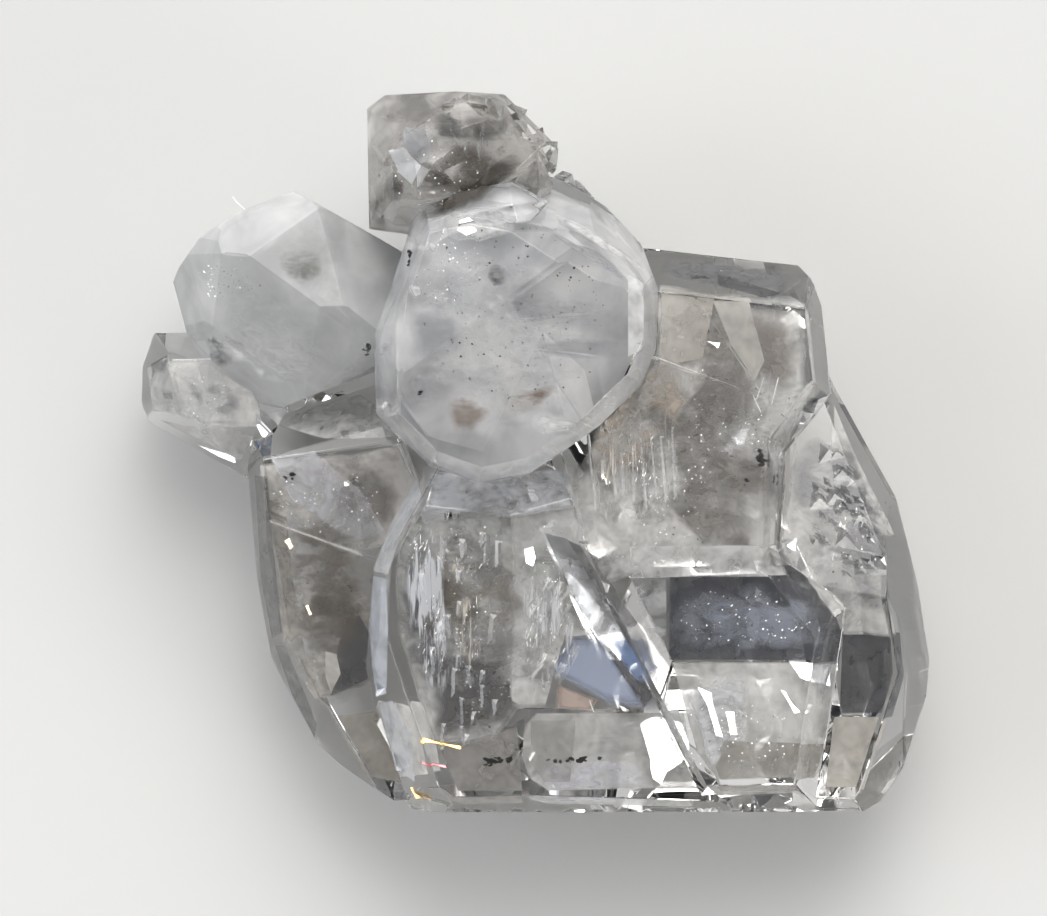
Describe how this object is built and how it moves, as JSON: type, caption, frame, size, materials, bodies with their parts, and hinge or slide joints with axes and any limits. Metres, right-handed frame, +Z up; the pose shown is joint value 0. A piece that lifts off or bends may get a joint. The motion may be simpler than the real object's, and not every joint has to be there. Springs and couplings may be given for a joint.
{
  "type": "herkimer diamond cluster",
  "caption": "Cluster of intergrown, doubly pointed quartz crystals, clear, milky and smoky, lying on its flat broad side.",
  "frame": {"origin": "middle of the bounding box's footprint, on the surface the cluster lies on", "axes": "+X along the longest extent, towards the big clear crystal; +Y towards the small smoky crystal; +Z up, the shortest extent, towards the broad upper faces"},
  "size_m": [0.028, 0.0254, 0.0125],
  "materials": {
    "clear_quartz": "glassy, slightly smoky, with milky parts, pitted and stepped faces, and dark and brown inclusions"
  },
  "bodies": {
    "root": {"crystal_cluster": "clear_quartz"}
  },
  "joints": []
}
